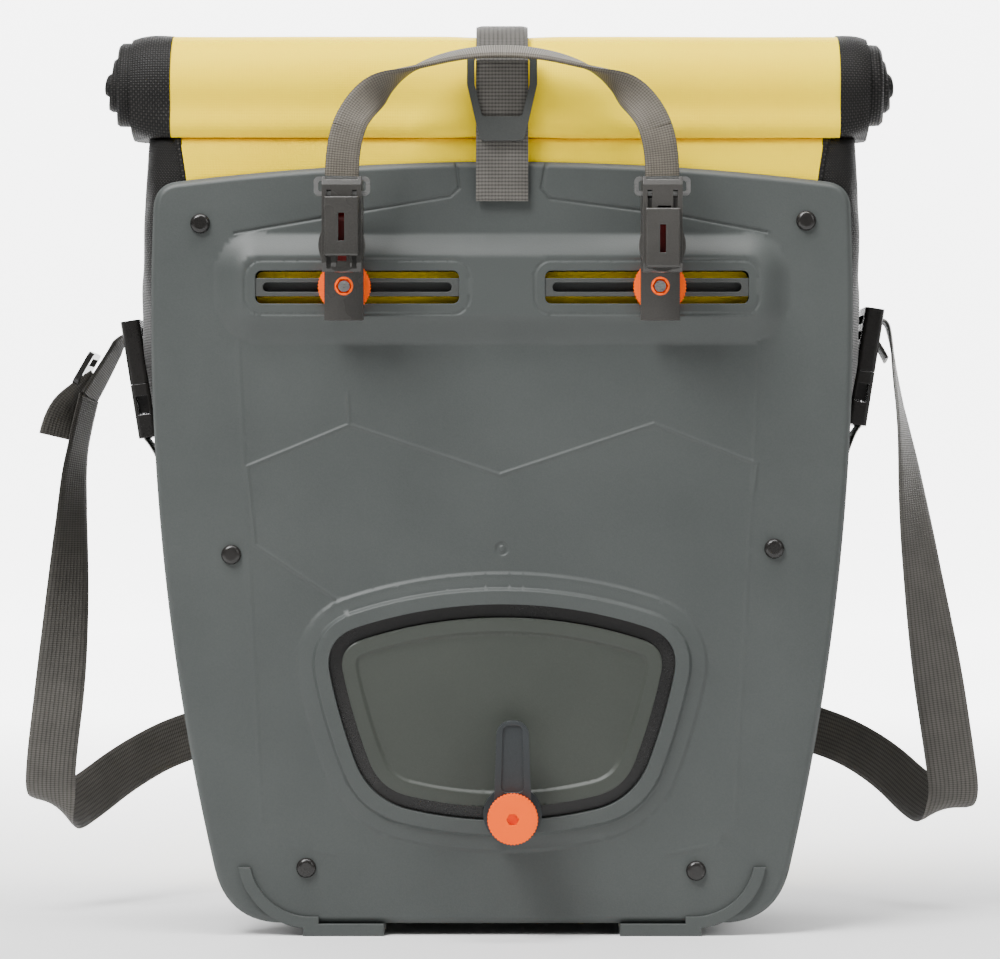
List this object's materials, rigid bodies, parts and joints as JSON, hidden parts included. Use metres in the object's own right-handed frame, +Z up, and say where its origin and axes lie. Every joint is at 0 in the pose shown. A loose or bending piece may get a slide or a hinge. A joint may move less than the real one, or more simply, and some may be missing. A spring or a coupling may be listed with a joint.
{
  "type": "pannier bag",
  "caption": "Roll-top bicycle pannier with a moulded back plate, rack hooks on rails, a swing anchor, a carry handle and a shoulder strap on side-release buckles.",
  "frame": {"origin": "middle of the bag's footprint on the floor it stands on, without the shoulder strap", "axes": "+Z up; -Y towards the bicycle rack, out of the back plate; +X to the right of someone facing the back plate"},
  "size_m": [0.4812, 0.2355, 0.4405],
  "materials": {
    "grey_plastic": "fine moulded grain",
    "dark_plastic": "satin moulded",
    "black_plastic": "satin moulded",
    "orange_plastic": "satin moulded",
    "red_plastic": "satin moulded",
    "steel": "zinc plated",
    "tarpaulin_yellow": "coated tarpaulin with a soft gloss",
    "woven_black": "coarse coated weave",
    "webbing": "ribbed polyester webbing",
    "print_white": "reflective print"
  },
  "bodies": {
    "root": {"back_panel": "tarpaulin_yellow", "back_plate": "grey_plastic", "base_feet": "black_plastic", "base_panel": "woven_black", "buckle_socket_left": "black_plastic", "buckle_socket_right": "black_plastic", "buckle_tab_left": "woven_black", "buckle_tab_right": "woven_black", "carry_handle": "webbing", "closure_strap": "webbing", "closure_tail": "webbing", "corner_foot_left": "grey_plastic", "corner_foot_right": "grey_plastic", "front_panel": "tarpaulin_yellow", "ladder_lock": "dark_plastic", "left_gusset": "woven_black", "plate_rivets": "black_plastic", "rail_boss": "grey_plastic", "rail_left": "dark_plastic", "rail_right": "dark_plastic", "right_gusset": "woven_black", "rivet_washers": "steel", "roll_end_left": "woven_black", "roll_end_right": "woven_black", "roll_stiffener": "black_plastic", "roll_top": "tarpaulin_yellow", "shoulder_strap": "webbing", "strap_adjuster": "black_plastic", "track_floor": "black_plastic", "track_island": "grey_plastic", "track_rim": "grey_plastic"},
    "hook_left": {"hook_left_body": "dark_plastic", "hook_left_pivot_pin": "steel", "hook_left_clamp_screw": "steel", "hook_left_clamp_nut": "steel", "hook_left_pawl_spring": "steel"},
    "bail_left": {"hook_left_release_bail": "steel"},
    "pawl_left": {"hook_left_latch_pawl": "red_plastic"},
    "wheel_left": {"hook_left_clamp_wheel": "orange_plastic"},
    "slider_left": {"hook_left_safety_slider": "dark_plastic"},
    "hook_right": {"hook_right_body": "dark_plastic", "hook_right_pivot_pin": "steel", "hook_right_clamp_screw": "steel", "hook_right_clamp_nut": "steel", "hook_right_pawl_spring": "steel"},
    "bail_right": {"hook_right_release_bail": "steel"},
    "pawl_right": {"hook_right_latch_pawl": "red_plastic"},
    "wheel_right": {"hook_right_clamp_wheel": "orange_plastic"},
    "slider_right": {"hook_right_safety_slider": "dark_plastic"},
    "track_slider": {"track_slider": "black_plastic", "anchor_bolt": "steel"},
    "anchor_arm": {"anchor_arm": "dark_plastic"},
    "anchor_knob": {"anchor_knob": "orange_plastic"},
    "plug_left": {"buckle_plug_left": "black_plastic"},
    "plug_right": {"buckle_plug_right": "black_plastic"}
  },
  "joints": [
    {"name": "hook_left_slide", "type": "slide", "parent": "root", "child": "hook_left", "axis": [1, 0, 0], "range_m": [-0.034, 0.044], "deforming": ["carry_handle"]},
    {"name": "release_left", "type": "slide", "parent": "hook_left", "child": "bail_left", "axis": [0, 0, 1], "range_m": [0, 0.006], "stiffness_N_per_m": 200, "deforming": ["carry_handle"]},
    {"name": "pawl_left_swing", "type": "hinge", "parent": "hook_left", "child": "pawl_left", "pos_m": [-0.0753, -0.1069, 0.3423], "axis": [1, 0, 0], "range_deg": [-15, 0]},
    {"name": "wheel_left_turn", "type": "hinge", "parent": "hook_left", "child": "wheel_left", "pos_m": [-0.0753, -0.085, 0.311], "axis": [0, 1, 0], "continuous": true},
    {"name": "safety_left", "type": "slide", "parent": "hook_left", "child": "slider_left", "axis": [0, 0, 1], "range_m": [-0.0055, 0]},
    {"name": "hook_right_slide", "type": "slide", "parent": "root", "child": "hook_right", "axis": [1, 0, 0], "range_m": [-0.044, 0.034], "deforming": ["carry_handle"]},
    {"name": "release_right", "type": "slide", "parent": "hook_right", "child": "bail_right", "axis": [0, 0, 1], "range_m": [0, 0.006], "stiffness_N_per_m": 200, "deforming": ["carry_handle"]},
    {"name": "pawl_right_swing", "type": "hinge", "parent": "hook_right", "child": "pawl_right", "pos_m": [0.0753, -0.1069, 0.3423], "axis": [1, 0, 0], "range_deg": [-15, 0]},
    {"name": "wheel_right_turn", "type": "hinge", "parent": "hook_right", "child": "wheel_right", "pos_m": [0.0753, -0.085, 0.311], "axis": [0, 1, 0], "continuous": true},
    {"name": "safety_right", "type": "slide", "parent": "hook_right", "child": "slider_right", "axis": [0, 0, 1], "range_m": [0, 0.0055]},
    {"name": "anchor_track", "type": "hinge", "parent": "root", "child": "track_slider", "pos_m": [0, -0.073, 0.252], "axis": [0, 1, 0], "range_deg": [-9, 9]},
    {"name": "anchor_swing", "type": "hinge", "parent": "track_slider", "child": "anchor_arm", "pos_m": [0.005, -0.073, 0.0588], "axis": [0, 1, 0], "range_deg": [-90, 90]},
    {"name": "anchor_knob_turn", "type": "hinge", "parent": "anchor_arm", "child": "anchor_knob", "pos_m": [0.005, -0.073, 0.0588], "axis": [0, 1, 0], "continuous": true},
    {"name": "plug_left_pull", "type": "slide", "parent": "root", "child": "plug_left", "axis": [-0.1564, 0, 0.9877], "range_m": [0, 0.024], "deforming": ["shoulder_strap"]},
    {"name": "plug_right_pull", "type": "slide", "parent": "root", "child": "plug_right", "axis": [0.1564, 0, 0.9877], "range_m": [0, 0.024], "deforming": ["shoulder_strap"]}
  ],
  "couplings": [
    {"joint": "release_right", "follows": "release_left", "ratio": 1},
    {"joint": "pawl_left_swing", "follows": "release_left", "rad_per_m": -43.633},
    {"joint": "pawl_right_swing", "follows": "release_left", "rad_per_m": -43.633}
  ]
}
